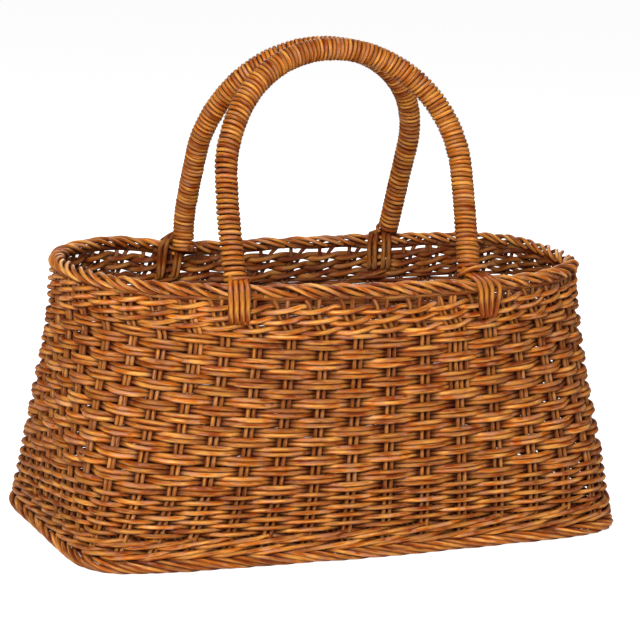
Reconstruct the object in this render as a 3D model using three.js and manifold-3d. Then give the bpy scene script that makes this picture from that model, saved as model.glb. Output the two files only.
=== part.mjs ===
// A rattan storage basket. Its woven body draws in from a rounded rectangular foot to an oval rim,
// and two cane-wrapped hoop handles swing on lashings that go round the rolled border of the rim.
// Millimetres, +Z up, standing on the plane z = 0 with the origin under the middle of the body.
import * as THREE from "three";
import { mergeVertices } from "three/addons/utils/BufferGeometryUtils.js";
import Module from "manifold-3d";

// The body over its borders. Squareness 2 is an ellipse, and more comes nearer to a rectangle. It
// falls off upward, faster near the foot the higher the fall is.
const footLength = 450;
const footWidth = 256;
const footSquareness = 6.8;
const rimLength = 428;
const rimWidth = 253;
const rimSquareness = 2.23;
const squarenessFall = 2.1;
const bodyHeight = 206;

// The courses of the wall from the floor up. The slewed siding takes the height that is left.
const footBorderHeight = 9;
const waleHeight = 7.2;
const lowerRandingHeight = 37;
const upperRandingHeight = 24;
const topBorderHeight = 13;
const borderWidth = 13;
const waleWidth = 12.4;
const wallThickness = 10.5;
const courseGap = 0.3;

// The woven bottom, held inside the foot border.
const bottomThickness = 6;
const bottomLift = 4;
const bottomGap = 0.5;

// The handles: each a hoop with straight legs under half an ellipse, leaning in at rest. They are
// set a little to either side of the middle, one turned half round from the other.
const handleHalfSpan = 92.5;
const handleShift = 17.5;
const legHeight = 89;
const crownRise = 93;
const frontLean = THREE.MathUtils.degToRad(20.9);
const rearLean = THREE.MathUtils.degToRad(24.1);
const coreDiameter = 8.4;
const legClearance = 8;

// The cane that wraps the handles and lashes them to the rim.
const caneDiameter = 4;
const caneClearance = 0.6;
const wrapTurns = 24;
const wrapStraightDiameters = 1.2;
const wrapEaseDiameters = 2;
const lashPitch = 4.4;
const lashCount = 4;
const lashHeight = 30.4;
const lashGap = 0.3;
const lashRoom = 0.9;
const lashDip = 1.2;
const lashTurn = 4.5;
const lashShoulder = THREE.MathUtils.degToRad(40);
const slotRise = 6.5;
const slotDrop = 3;
const slotSideRoom = 0.8;

// How finely the round forms are faceted.
const outlineSamples = 1440;
const ringSteps = 88;
const borderSides = 10;
const coreSides = 8;
const coreSteps = 40;
const wrapSides = 5;
const wrapStepsPerTurn = 12;
const lashSides = 5;
const lashSteps = 18;
const hoopDivisions = 600;
const wrapDivisionsPerTurn = 40;
const gapPointsPerTurn = 60;
const gapTurnShare = 0.75;

const caneMaterial = () => new THREE.MeshStandardMaterial({ color: 0xb4692b, roughness: 0.5, metalness: 0 });
const weaveMaterial = () => new THREE.MeshStandardMaterial({ color: 0x9a5626, roughness: 0.6, metalness: 0 });
const bottomMaterial = () => new THREE.MeshStandardMaterial({ color: 0x7d4520, roughness: 0.7, metalness: 0 });
const coreMaterial = () => new THREE.MeshStandardMaterial({ color: 0x8a4f24, roughness: 0.65, metalness: 0 });

const wasm = await Module();
wasm.setup();

// The body's outline at a height, from the foot's to the rim's.
function outlineAt(z) {
  const rise = z / bodyHeight;
  const fall = Math.max(0, 1 - rise) ** squarenessFall;
  return {
    halfLength: THREE.MathUtils.lerp(footLength, rimLength, rise) / 2,
    halfWidth: THREE.MathUtils.lerp(footWidth, rimWidth, rise) / 2,
    squareness: THREE.MathUtils.lerp(rimSquareness, footSquareness, fall),
  };
}

// Points all round the outline at a height, with the distance along it at each.
const tables = new Map();
function outlineTable(z) {
  if (tables.has(z)) return tables.get(z);
  const { halfLength, halfWidth, squareness } = outlineAt(z);
  const points = [];
  const distances = [0];
  for (let i = 0; i <= outlineSamples; i++) {
    const angle = (2 * Math.PI * i) / outlineSamples;
    const along = Math.abs(Math.cos(angle) / halfLength) ** squareness;
    const across = Math.abs(Math.sin(angle) / halfWidth) ** squareness;
    const radius = (along + across) ** (-1 / squareness);
    points.push(new THREE.Vector2(radius * Math.cos(angle), radius * Math.sin(angle)));
    if (i > 0) distances.push(distances[i - 1] + points[i].distanceTo(points[i - 1]));
  }
  tables.set(z, { points, distances });
  return tables.get(z);
}

// The outward direction of the outline at a height and a point of it.
function outwardAt(z, point) {
  const { halfLength, halfWidth, squareness } = outlineAt(z);
  const x = Math.sign(point.x) * Math.abs(point.x / halfLength) ** (squareness - 1);
  const y = Math.sign(point.y) * Math.abs(point.y / halfWidth) ** (squareness - 1);
  return new THREE.Vector3(x / halfLength, y / halfWidth, 0).normalize();
}

// The point a share of the way round at a height, set in from the outline by an inset.
function wallPoint(z, share, inset) {
  const { points, distances } = outlineTable(z);
  const distance = (share - Math.floor(share)) * distances[outlineSamples];
  const next = Math.max(1, distances.findIndex((d) => d >= distance));
  const part = (distance - distances[next - 1]) / (distances[next] - distances[next - 1]);
  const point = points[next - 1].clone().lerp(points[next], part);
  const outward = outwardAt(z, point);
  return new THREE.Vector3(point.x, point.y, z).addScaledVector(outward, -inset);
}

// The share of the way round where the front of the outline passes a given x.
function frontShareAt(z, x) {
  const { points, distances } = outlineTable(z);
  const half = outlineSamples / 2;
  const next = points.findIndex((point, i) => i > half && point.x >= x);
  const part = (x - points[next - 1].x) / (points[next].x - points[next - 1].x);
  const distance = THREE.MathUtils.lerp(distances[next - 1], distances[next], part);
  return distance / distances[outlineSamples];
}

// A closed ring round the body. Its section is a loop of insets and heights.
function ringGeometry(section) {
  const positions = [];
  for (let step = 0; step < ringSteps; step++) {
    for (const { inset, z } of section) {
      positions.push(...wallPoint(z, step / ringSteps, inset));
    }
  }
  const index = [];
  for (let step = 0; step < ringSteps; step++) {
    for (let i = 0; i < section.length; i++) {
      const here = step * section.length;
      const there = ((step + 1) % ringSteps) * section.length;
      const next = (i + 1) % section.length;
      index.push(here + i, there + next, there + i, here + i, here + next, there + next);
    }
  }
  const geometry = new THREE.BufferGeometry();
  geometry.setAttribute("position", new THREE.Float32BufferAttribute(positions, 3));
  geometry.setIndex(index);
  geometry.computeVertexNormals();
  return geometry;
}

// A course's section from shares of its width, outside to inside, and of its height.
function shapedSection(shares, bottom, height, width) {
  const outerInset = (borderWidth - width) / 2;
  return shares.map(([across, up]) => ({ inset: outerInset + across * width, z: bottom + up * height }));
}

// The section of a straight stretch of wall, cut into levels so that it follows the outline.
function straightShares(levels) {
  const outside = [];
  const inside = [];
  for (let level = 0; level <= levels; level++) {
    outside.push([1, level / levels]);
    inside.unshift([0, level / levels]);
  }
  return [...outside, ...inside];
}

// The rolled border's section, round and a full border wide.
function roundShares() {
  const shares = [];
  for (let side = 0; side < borderSides; side++) {
    const angle = (2 * Math.PI * (side + 0.5)) / borderSides;
    shares.push([(1 + Math.cos(angle)) / 2, (1 + Math.sin(angle)) / 2]);
  }
  return shares;
}

// The foot border is flat underneath, where it stands, and the wale is bowed on both faces.
const footBorderShares = [
  [0.2, 0],
  [0.8, 0],
  [1, 0.35],
  [0.94, 0.78],
  [0.7, 1],
  [0.3, 1],
  [0.06, 0.78],
  [0, 0.35],
];
const waleShares = [
  [0.12, 0],
  [0.88, 0],
  [1, 0.5],
  [0.88, 1],
  [0.12, 1],
  [0, 0.5],
];

const otherHeights = [
  footBorderHeight,
  waleHeight,
  waleHeight,
  lowerRandingHeight,
  upperRandingHeight,
  topBorderHeight,
];
const sidingHeight = otherHeights.reduce((left, height) => left - height - courseGap, bodyHeight);
const courses = [
  { name: "foot_border", height: footBorderHeight, width: borderWidth, shares: footBorderShares },
  { name: "lower_wale_1", height: waleHeight, width: waleWidth, shares: waleShares },
  { name: "lower_wale_2", height: waleHeight, width: waleWidth, shares: waleShares },
  { name: "lower_randing", height: lowerRandingHeight, width: wallThickness, shares: straightShares(1) },
  { name: "slewed_siding", height: sidingHeight, width: wallThickness, shares: straightShares(3) },
  { name: "upper_randing", height: upperRandingHeight, width: wallThickness, shares: straightShares(1) },
  { name: "top_border", height: topBorderHeight, width: borderWidth, shares: roundShares() },
];
let courseBottom = 0;
for (const course of courses) {
  course.bottom = courseBottom;
  courseBottom += course.height + courseGap;
}

// Where the handles turn: the middle of the top border, at the two feet of the front handle.
const borderMiddle = bodyHeight - topBorderHeight / 2;
const footShares = [-1, 1].map((side) => frontShareAt(borderMiddle, side * handleHalfSpan - handleShift));
const hingePoints = footShares.map((share) => wallPoint(borderMiddle, share, borderWidth / 2));
const hingeDirection = hingePoints[1].clone().sub(hingePoints[0]).normalize();
const hingeMiddle = hingePoints[0].clone().lerp(hingePoints[1], 0.5);
const handleTurn = Math.atan2(hingeDirection.y, hingeDirection.x);
const halfSpan = hingePoints[0].distanceTo(hingePoints[1]) / 2;
const legFoot = topBorderHeight / 2 + legClearance;
function legDirection(lean) {
  const direction = new THREE.Vector3(0, Math.sin(lean), Math.cos(lean));
  return direction.applyAxisAngle(new THREE.Vector3(0, 0, 1), handleTurn);
}

// The centre line of a hoop in its own plane, x along the hinge and z up the legs.
class HoopPath extends THREE.Curve {
  getPoint(t, target = new THREE.Vector3()) {
    if (t < 1 / 3) return target.set(-halfSpan, 0, THREE.MathUtils.lerp(legFoot, legHeight, 3 * t));
    if (t > 2 / 3) return target.set(halfSpan, 0, THREE.MathUtils.lerp(legFoot, legHeight, 3 - 3 * t));
    const angle = Math.PI * (3 * t - 1);
    return target.set(-halfSpan * Math.cos(angle), 0, legHeight + crownRise * Math.sin(angle));
  }
}
const hoop = new HoopPath();
hoop.arcLengthDivisions = hoopDivisions;
const hoopLength = hoop.getLength();

// The wrapping cane's centre line: a helix round the hoop whose ends run straight along the legs.
const wrapRadius = coreDiameter / 2 + caneClearance + caneDiameter / 2;
const wrapStraight = wrapStraightDiameters * caneDiameter;
const wrapEase = wrapEaseDiameters * caneDiameter;
const wrapRate = (2 * Math.PI * wrapTurns) / (hoopLength - 2 * wrapStraight - wrapEase);
function wrapAngle(distance) {
  const start = Math.max(0, distance - wrapStraight);
  const end = Math.max(0, hoopLength - wrapStraight - distance);
  if (start < wrapEase) return (wrapRate * start * start) / (2 * wrapEase);
  if (end < wrapEase) return 2 * Math.PI * wrapTurns - (wrapRate * end * end) / (2 * wrapEase);
  return wrapRate * (start - wrapEase / 2);
}
class WrapPath extends THREE.Curve {
  getPoint(t, target = new THREE.Vector3()) {
    const side = new THREE.Vector3(0, 1, 0);
    const inPlane = new THREE.Vector3().crossVectors(hoop.getTangentAt(t), side);
    const angle = wrapAngle(t * hoopLength);
    target.copy(hoop.getPointAt(t));
    target.addScaledVector(inPlane, wrapRadius * Math.cos(angle));
    return target.addScaledVector(side, wrapRadius * Math.sin(angle));
  }
}
const wrap = new WrapPath();
wrap.arcLengthDivisions = wrapTurns * wrapDivisionsPerTurn;

// The least gap from the wrapping cane to itself, measured between points most of a turn apart.
function leastWrapGap() {
  const points = wrap.getSpacedPoints(wrapTurns * gapPointsPerTurn);
  const apart = Math.round(gapPointsPerTurn * gapTurnShare);
  let least = Infinity;
  for (let i = 0; i < points.length; i++) {
    for (let j = i + apart; j < points.length; j++) {
      least = Math.min(least, points[i].distanceTo(points[j]));
    }
  }
  return least - caneDiameter;
}

// A rod of even section along a curve.
function rodGeometry(path, diameter, sides, steps) {
  const section = new THREE.Shape();
  for (let side = 0; side < sides; side++) {
    const angle = (2 * Math.PI * side) / sides;
    const x = (diameter / 2) * Math.cos(angle);
    const y = (diameter / 2) * Math.sin(angle);
    if (side === 0) section.moveTo(x, y);
    else section.lineTo(x, y);
  }
  return new THREE.ExtrudeGeometry(section, { steps, bevelEnabled: false, extrudePath: path });
}

// One strand of a lashing: from under the wrapping it goes down over the border's outside,
// through the wall, up the inside and under the wrapping again.
const lashReach = lashRoom + caneDiameter / 2;
const lashBottom = bodyHeight - lashHeight + caneDiameter / 2;
const wallMiddle = borderWidth / 2;
const lashMiddle = (lashCount - 1) / 2;

// The directions across a leg at one foot: along the rim and out of its face.
function legFrame(foot, lean) {
  const leg = legDirection(lean);
  const rim = wallPoint(borderMiddle, footShares[foot], 0).sub(hingePoints[foot]);
  const along = new THREE.Vector3(-rim.y, rim.x, 0);
  along.addScaledVector(leg, -along.dot(leg)).normalize();
  return { leg, along, face: new THREE.Vector3().crossVectors(along, leg) };
}

// The points of one half of a strand, from its end down to the slot: side is 1 outside, -1 inside.
function lashHalf(foot, strand, side, lean) {
  const share = strandShare(foot, strand);
  const angle = (Math.PI * (strand - lashMiddle)) / lashCount;
  const { leg, along, face } = legFrame(foot, lean);
  const end = hingePoints[foot].clone().addScaledVector(leg, legFoot - lashGap);
  end.addScaledVector(face, side * wrapRadius * Math.cos(angle));
  end.addScaledVector(along, wrapRadius * Math.sin(angle));
  const run = end.clone().addScaledVector(leg, -caneDiameter);
  const middle = wallPoint(borderMiddle, share, wallMiddle);
  const level = wallPoint(borderMiddle, share, wallMiddle - side * (borderWidth / 2 + lashReach));
  const shoulder = level.clone().sub(middle).multiplyScalar(Math.cos(lashShoulder)).add(middle);
  shoulder.z += (borderWidth / 2 + lashReach) * Math.sin(lashShoulder);
  const above = wallPoint(lashBottom + lashTurn, share, wallMiddle - side * (wallThickness / 2 + lashReach));
  const mouth = wallPoint(lashBottom + lashDip, share, wallMiddle - side * (wallThickness / 2));
  return [end, run, shoulder, level, above, mouth];
}
function strandShare(foot, strand) {
  const { distances } = outlineTable(borderMiddle);
  return footShares[foot] + ((strand - lashMiddle) * lashPitch) / distances[outlineSamples];
}
function lashPath(foot, strand, lean) {
  const bottom = wallPoint(lashBottom, strandShare(foot, strand), wallMiddle);
  const outside = lashHalf(foot, strand, 1, lean);
  const inside = lashHalf(foot, strand, -1, lean);
  const points = [...outside, bottom, ...inside.reverse()];
  return new THREE.CatmullRomCurve3(points, false, "centripetal");
}

// The slots through the upper randing that the lashings pass through, each all round its strands.
function slotGeometry(point, outward) {
  const width = (lashCount - 1) * lashPitch + caneDiameter + 2 * slotSideRoom;
  const depth = 2 * wallThickness;
  const slot = new THREE.BoxGeometry(width, depth, slotDrop + slotRise);
  slot.rotateZ(Math.atan2(outward.y, outward.x) - Math.PI / 2);
  slot.translate(point.x, point.y, point.z + (slotRise - slotDrop) / 2);
  return slot;
}

// A geometry as a solid, and a solid as a geometry.
function solidOf(geometry) {
  const bare = geometry.clone();
  bare.deleteAttribute("normal");
  bare.deleteAttribute("uv");
  const merged = mergeVertices(bare);
  const vertProperties = new Float32Array(merged.getAttribute("position").array);
  const triVerts = new Uint32Array(merged.getIndex().array);
  return new wasm.Manifold(new wasm.Mesh({ numProp: 3, vertProperties, triVerts }));
}
function geometryOf(solid) {
  const mesh = solid.getMesh();
  const geometry = new THREE.BufferGeometry();
  geometry.setAttribute("position", new THREE.BufferAttribute(new Float32Array(mesh.vertProperties), 3));
  geometry.setIndex(new THREE.BufferAttribute(new Uint32Array(mesh.triVerts), 1));
  geometry.computeVertexNormals();
  return geometry;
}

function namedMesh(name, geometry, material) {
  const mesh = new THREE.Mesh(geometry, material);
  mesh.name = name;
  return mesh;
}

// The wall: seven courses, each a ring that sits on the one below.
function buildWall() {
  const wall = new THREE.Group();
  for (const { name, bottom, height, width, shares } of courses) {
    let geometry = ringGeometry(shapedSection(shares, bottom, height, width));
    if (name === "upper_randing") {
      let solid = solidOf(geometry);
      for (const share of footShares) {
        for (const turn of [0, 0.5]) {
          const point = wallPoint(lashBottom, share + turn, wallMiddle);
          const outline = wallPoint(lashBottom, share + turn, 0);
          solid = solid.subtract(solidOf(slotGeometry(point, outline.sub(point))));
        }
      }
      geometry = geometryOf(solid);
    }
    wall.add(namedMesh(name, geometry, weaveMaterial()));
  }
  return wall;
}

// The bottom, a flat mat that fills the foot border.
function buildBottom() {
  const outline = [];
  for (let step = 0; step < ringSteps; step++) {
    const point = wallPoint(bottomLift, step / ringSteps, borderWidth + bottomGap);
    outline.push(new THREE.Vector2(point.x, point.y));
  }
  const geometry = new THREE.ExtrudeGeometry(new THREE.Shape(outline), {
    depth: bottomThickness,
    bevelEnabled: false,
  });
  geometry.translate(0, 0, bottomLift);
  return namedMesh("bottom_mat", geometry, bottomMaterial());
}

// One handle with its wrapping and its two lashings, made for the front of the basket.
function buildHandle(side, lean) {
  const assembly = new THREE.Group();
  const turned = new THREE.Group();
  turned.position.copy(hingeMiddle);
  turned.rotation.z = handleTurn;
  const leaning = new THREE.Group();
  leaning.rotation.x = -lean;
  const coreGeometry = rodGeometry(hoop, coreDiameter, coreSides, coreSteps);
  const wrapSteps = wrapTurns * wrapStepsPerTurn;
  const wrapGeometry = rodGeometry(wrap, caneDiameter, wrapSides, wrapSteps);
  leaning.add(namedMesh(side + "_handle_core", coreGeometry, coreMaterial()));
  leaning.add(namedMesh(side + "_handle_wrap", wrapGeometry, caneMaterial()));
  turned.add(leaning);
  assembly.add(turned);
  for (const foot of [0, 1]) {
    for (let strand = 0; strand < lashCount; strand++) {
      const name = side + "_lash_" + (foot === 0 ? "a" : "b") + "_" + (strand + 1);
      const geometry = rodGeometry(lashPath(foot, strand, lean), caneDiameter, lashSides, lashSteps);
      assembly.add(namedMesh(name, geometry, caneMaterial()));
    }
  }
  return assembly;
}

const basket = new THREE.Group();
basket.add(buildWall(), buildBottom());
const frontHandle = buildHandle("front", frontLean);
const rearHandle = buildHandle("rear", rearLean);
rearHandle.rotation.z = Math.PI;
basket.add(frontHandle, rearHandle);
console.log("Least gap of the wrapping cane to itself: " + leastWrapGap().toFixed(2) + " mm");

export default basket;
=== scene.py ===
import math

import bpy
import numpy as np
from mathutils import Matrix, Vector


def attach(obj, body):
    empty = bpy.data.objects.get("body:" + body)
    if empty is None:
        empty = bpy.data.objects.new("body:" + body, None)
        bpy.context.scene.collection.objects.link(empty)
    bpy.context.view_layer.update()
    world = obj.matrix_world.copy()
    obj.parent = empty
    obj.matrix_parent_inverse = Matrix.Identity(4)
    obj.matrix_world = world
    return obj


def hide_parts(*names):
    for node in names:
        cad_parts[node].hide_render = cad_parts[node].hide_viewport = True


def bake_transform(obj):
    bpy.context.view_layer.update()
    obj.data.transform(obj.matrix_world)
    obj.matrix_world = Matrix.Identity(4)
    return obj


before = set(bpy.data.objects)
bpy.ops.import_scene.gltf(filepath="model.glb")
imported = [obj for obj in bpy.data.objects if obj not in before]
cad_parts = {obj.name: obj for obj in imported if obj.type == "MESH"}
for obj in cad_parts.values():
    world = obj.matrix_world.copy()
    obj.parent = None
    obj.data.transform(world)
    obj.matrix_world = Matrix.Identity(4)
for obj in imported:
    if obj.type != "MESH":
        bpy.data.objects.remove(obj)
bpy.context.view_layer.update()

# Stakes: 44 pairs of round rods of stained rattan that stand round the wall, from the foot to the rim.
# They are bent up out of the foot border, and everything else is woven on them. Sizes are in metres.
FOOT_SIZE = (0.450, 0.256, 6.8)
RIM_SIZE = (0.428, 0.253, 2.23)
SQUARENESS_FALL = 2.1
SIDE_SWELL = (0.028, 0.30)
BODY_HEIGHT = 0.206
WALL_MIDDLE = 0.0065
WALL_LEVELS = 108
STAKE_PAIRS = 44
PAIR_START = 0.15
UNEVEN_SPACING = (0.38, 0.698)
STAKE_RADIUS = 0.00165
STAKE_SPREAD = 0.083
STAKE_FOOT = 0.004
STAKE_TOP = 0.2000
FOOT_LEAN = (0.055, 0.24, 0.21)
RIM_LEAN = (0.164, 0.187, 0.34)
RIM_SPREAD = (0.166, 0.192, 0.05)
TOP_BEND = (0.187, 0.205, 0.36)
STAKE_SWAY = 0.008
TOP_SWAY = 3
SWAY_HEIGHTS = (STAKE_FOOT, 0.165, STAKE_TOP)
# STAKE_DARK is painted shade laid evenly along the stakes.
STAKE_DARK = 0.1
EXTRA_STAKES = ((27, 0.132, (0.25,)), (35, 0.118, (-0.25, 0.25)), (36, 0.150, (0.25,)))
LEVEL_STEP = 0.002
OUTLINE_STEPS = 1440
RIM_PLACES = (0, 1, 2.2, 4.5, 6.9, 9, 11.1, 12.7, 14.4, 16, 18.5, 21.9, 25.5, 40.5, 42.5)
RIM_LIFTS = (2, 5, 5.5, 2.5, -0.8, -2.6, -4, -5, 0, 6, 5.5, 3, 0, 0, 0.5)
LIFT_STEPS = 10
LIFT_HEIGHTS = (0.160, 0.188)
DROP_HEIGHTS = (0.186, 0.199)


def eased(value, low, high):
    """Goes smoothly from 0 at the low value to 1 at the high one."""
    part = np.clip((value - low) / (high - low), 0, 1)
    return part * part * (3 - 2 * part)


def smoothed(values, width, ends):
    """The values averaged with their neighbours over a width. The ends wrap round or stay level."""
    window = np.hanning(width)
    return np.convolve(np.pad(values, width // 2, mode=ends), window / window.sum(), "valid")


def outline_level(height):
    """The wall's outline at one height, as points evenly spaced round it."""
    rise = min(height / BODY_HEIGHT, 1)
    half_length = (FOOT_SIZE[0] + (RIM_SIZE[0] - FOOT_SIZE[0]) * rise) / 2
    half_width = (FOOT_SIZE[1] + (RIM_SIZE[1] - FOOT_SIZE[1]) * rise) / 2
    squareness = RIM_SIZE[2] + (FOOT_SIZE[2] - RIM_SIZE[2]) * (1 - rise) ** SQUARENESS_FALL
    angle = np.linspace(0, 2 * np.pi, 2 * OUTLINE_STEPS + 1)
    across = np.abs(np.cos(angle) / half_length) ** squareness
    along = np.abs(np.sin(angle) / half_width) ** squareness
    reach = (across + along) ** (-1 / squareness)
    x, y = reach * np.cos(angle), reach * np.sin(angle)
    swell = np.cos(np.pi * np.clip(x / SIDE_SWELL[1], -0.5, 0.5)) ** 2
    y = y * (1 + SIDE_SWELL[0] * (1 - rise) * swell)
    length = np.concatenate([[0], np.cumsum(np.hypot(np.diff(x), np.diff(y)))])
    even = np.linspace(0, length[-1], OUTLINE_STEPS + 1)
    return np.column_stack([np.interp(even, length, x), np.interp(even, length, y)])


wall_outlines = np.array([outline_level(step * LEVEL_STEP) for step in range(WALL_LEVELS)])
wall_runs = wall_outlines[:, 1:] - wall_outlines[:, :-1]
wall_runs = np.concatenate([wall_runs[:, -1:], wall_runs], axis=1)
wall_runs = wall_runs + np.roll(wall_runs, -1, axis=1)
wall_runs[:, -1] = wall_runs[:, 0]
wall_faces = np.stack([wall_runs[..., 1], -wall_runs[..., 0]], axis=-1)
wall_faces /= np.linalg.norm(wall_faces, axis=-1, keepdims=True)
lift_places = np.arange(LIFT_STEPS * STAKE_PAIRS) / LIFT_STEPS
rim_lifts = np.interp(lift_places, RIM_PLACES, RIM_LIFTS, period=STAKE_PAIRS) / 1000
rim_lifts = smoothed(rim_lifts, 19, "wrap")


def on_wall(pair, height, inset):
    """Points in the wall and its outward directions there, by stake pair, height and inset. Near
    the top they follow the rim, which isn't quite level at the back."""
    lift = np.interp(pair, lift_places, rim_lifts, period=STAKE_PAIRS)
    lift = lift * np.where(lift > 0, eased(height, *LIFT_HEIGHTS), eased(height, *DROP_HEIGHTS))
    share = (pair + PAIR_START) / STAKE_PAIRS
    uneven = 1 - np.cos(4 * np.pi * (share - UNEVEN_SPACING[1]))
    share = share + UNEVEN_SPACING[0] / STAKE_PAIRS * uneven
    share, height, inset = np.broadcast_arrays(share, height, inset)
    place = (share % 1) * OUTLINE_STEPS
    near = np.minimum(place.astype(int), OUTLINE_STEPS - 1)
    level = np.clip(height / LEVEL_STEP, 0, len(wall_outlines) - 1.001)
    low = level.astype(int)
    part = (place - near)[:, None]
    up = (level - low)[:, None]

    def blended(grid):
        bottom = grid[low, near] * (1 - part) + grid[low, near + 1] * part
        top = grid[low + 1, near] * (1 - part) + grid[low + 1, near + 1] * part
        return bottom * (1 - up) + top * up

    flat = blended(wall_outlines)
    face = blended(wall_faces)
    face /= np.linalg.norm(face, axis=1, keepdims=True)
    flat = flat - face * inset[:, None]
    points = np.column_stack([flat, height + lift])
    return points, np.column_stack([face, np.zeros(len(face))])


# Painted shade on the strands: how dark their edges, their inner sides and their sides are painted, and
# over which facing the shade comes in.
EDGE_DARK = 0.98
INNER_DARK = 0.75
SIDE_DARK = 0.3
FACING_RANGE = (0.35, 0.97)
STRAND_OFFSET = 0.37
TIP_ROUNDING = 0.4


def unit(vectors):
    """The same directions, each of length 1."""
    return vectors / np.linalg.norm(vectors, axis=-1, keepdims=True)


def strand(points, beside, radius, dark=0.0, closed=False, tint=0.5, facing=1.0):
    """One round strand: its centre line, a direction out of the weave, its radius, how much painted
    shade
    it has, and which way it faces: 1 where it lies on the outside, -1 on the inside, 0 for both."""
    count = len(points)
    return {
        "points": np.asarray(points, float),
        "beside": np.broadcast_to(beside, (count, 3)),
        "radius": np.broadcast_to(radius, count),
        "dark": np.broadcast_to(dark, count)[:, None],
        "facing": np.broadcast_to(facing, count)[:, None],
        "closed": closed,
        "tint": tint,
    }


def strand_runs(one):
    """The direction at each point of a strand, and the length from each point to the next."""
    points = one["points"]
    if one["closed"]:
        after = np.roll(points, -1, axis=0)
        before = np.roll(points, 1, axis=0)
        return unit(after - before), np.linalg.norm(after - points, axis=1)
    return unit(np.gradient(points, axis=0)), np.linalg.norm(np.diff(points, axis=0), axis=1)


def strand_darks(one, turn, edge):
    """How dark each corner of a strand is painted, as shade. The painted shade is darkest where the
    strand lies against what it crosses.
    """
    outer = 0.5 + 0.5 * np.cos(turn)
    hidden = outer * eased(-one["facing"], *FACING_RANGE)
    hidden = hidden + (1 - outer) * np.maximum(eased(one["facing"], *FACING_RANGE), INNER_DARK)
    around = np.minimum(edge * (hidden + SIDE_DARK * np.sin(turn) ** 2), 1)
    return (one["dark"] + (1 - one["dark"]) * around).ravel()


def strand_skin(count, sides, lengths):
    """The four-cornered faces along a strand, and the places of their corners in its UV map."""
    spans = len(lengths) - 1
    here = np.arange(spans)[:, None]
    there = (here + 1) % count
    at = np.arange(sides)[None, :]
    beyond = (at + 1) % sides
    quads = np.stack(
        [here * sides + at, here * sides + beyond, there * sides + beyond, there * sides + at],
        axis=-1,
    )
    u0 = np.broadcast_to(lengths[:-1, None], (spans, sides))
    u1 = np.broadcast_to(lengths[1:, None], (spans, sides))
    v0 = np.broadcast_to(at / sides, (spans, sides))
    v1 = v0 + 1 / sides
    places = np.stack([u0, v0, u0, v1, u1, v1, u1, v0], axis=-1)
    return quads.reshape(-1, 4), places.reshape(-1, 2)


def strand_tips(count, sides, lengths):
    """The three-cornered faces that close a strand's ends, and their places in its UV map."""
    last = (count - 1) * sides
    tip = count * sides
    faces, places = [], []
    for low in range(sides):
        high = (low + 1) % sides
        faces += [[high, low, tip], [last + low, last + high, tip + 1]]
        for length, steps in ((lengths[0], (1, 0, 0)), (lengths[-1], (0, 1, 0))):
            places += [(length, (low + step) / sides) for step in steps]
    return np.array(faces), np.array(places)


def strand_piece(name, strands, sides=8, edge=EDGE_DARK):
    """Makes one mesh of round strands, with lengths in its UV map, and a tint and a painted shade value.
    The edge sets how strong the painted shade on their sides and hidden faces is.
    """
    corners, faces, maps, tints, darks = [], [], [], [], []
    turn = np.arange(sides) * 2 * np.pi / sides
    start = 0.0
    first = 0
    for one in strands:
        points = one["points"]
        count = len(points)
        size = count * sides
        run, step = strand_runs(one)
        side = unit(one["beside"] - (one["beside"] * run).sum(1)[:, None] * run)
        other = np.cross(run, side)
        reach = one["radius"][:, None, None]
        ring = side[:, None] * np.cos(turn)[:, None] + other[:, None] * np.sin(turn)[:, None]
        corners.append((points[:, None] + reach * ring).reshape(-1, 3))
        darks.append(strand_darks(one, turn, edge))
        lengths = np.concatenate([[0], np.cumsum(step)]) + start
        start += STRAND_OFFSET
        quads, places = strand_skin(count, sides, lengths)
        faces.extend((quads + first).tolist())
        maps.append(places)
        if not one["closed"]:
            beyond = run * one["radius"][:, None] * TIP_ROUNDING
            corners.append(np.stack([points[0] - beyond[0], points[-1] + beyond[-1]]))
            darks.append(one["dark"][[0, -1], 0])
            ends, places = strand_tips(count, sides, lengths)
            faces.extend((ends + first).tolist())
            maps.append(places)
            size += 2
        tints.append(np.full(size, one["tint"]))
        first += size
    mesh = bpy.data.meshes.new(name)
    mesh.from_pydata(np.concatenate(corners).tolist(), [], faces)
    lay = mesh.uv_layers.new(name="along_strand")
    lay.data.foreach_set("uv", np.concatenate(maps).astype(np.float32).ravel())
    for word, values in (("tint", tints), ("dark", darks)):
        attribute = mesh.attributes.new(word, "FLOAT", "POINT")
        attribute.data.foreach_set("value", np.concatenate(values).astype(np.float32))
    mesh.shade_smooth()
    piece = bpy.data.objects.new(name, mesh)
    bpy.context.collection.objects.link(piece)
    return piece


CLOUD_TONES = ((0.70, 0.60, 0.45, 1), (1.12, 1.12, 1.12, 1))
STRAND_TONES = ((0.74, 0.64, 0.48, 1), (1.12, 1.12, 1.12, 1))
# The colour below is painted shade: a dark red-brown that the strands' dark values mix in, in crevices,
# where strands lie against one another and on their shaded sides.
PAINTED_SHADE_COLOUR = (0.056, 0.0016, 0.0, 1.0)
PAINTED_SHADE_SHARE = 0.9
CREVICE_ROUGHNESS = 0.5
FIBRE_ROUGHNESS = (0.26, 0.42)
FIBRE_DEPTH = 0.0003
FIBRE_STRENGTH = 0.25
SKIN_SHINE = 0.24


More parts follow.
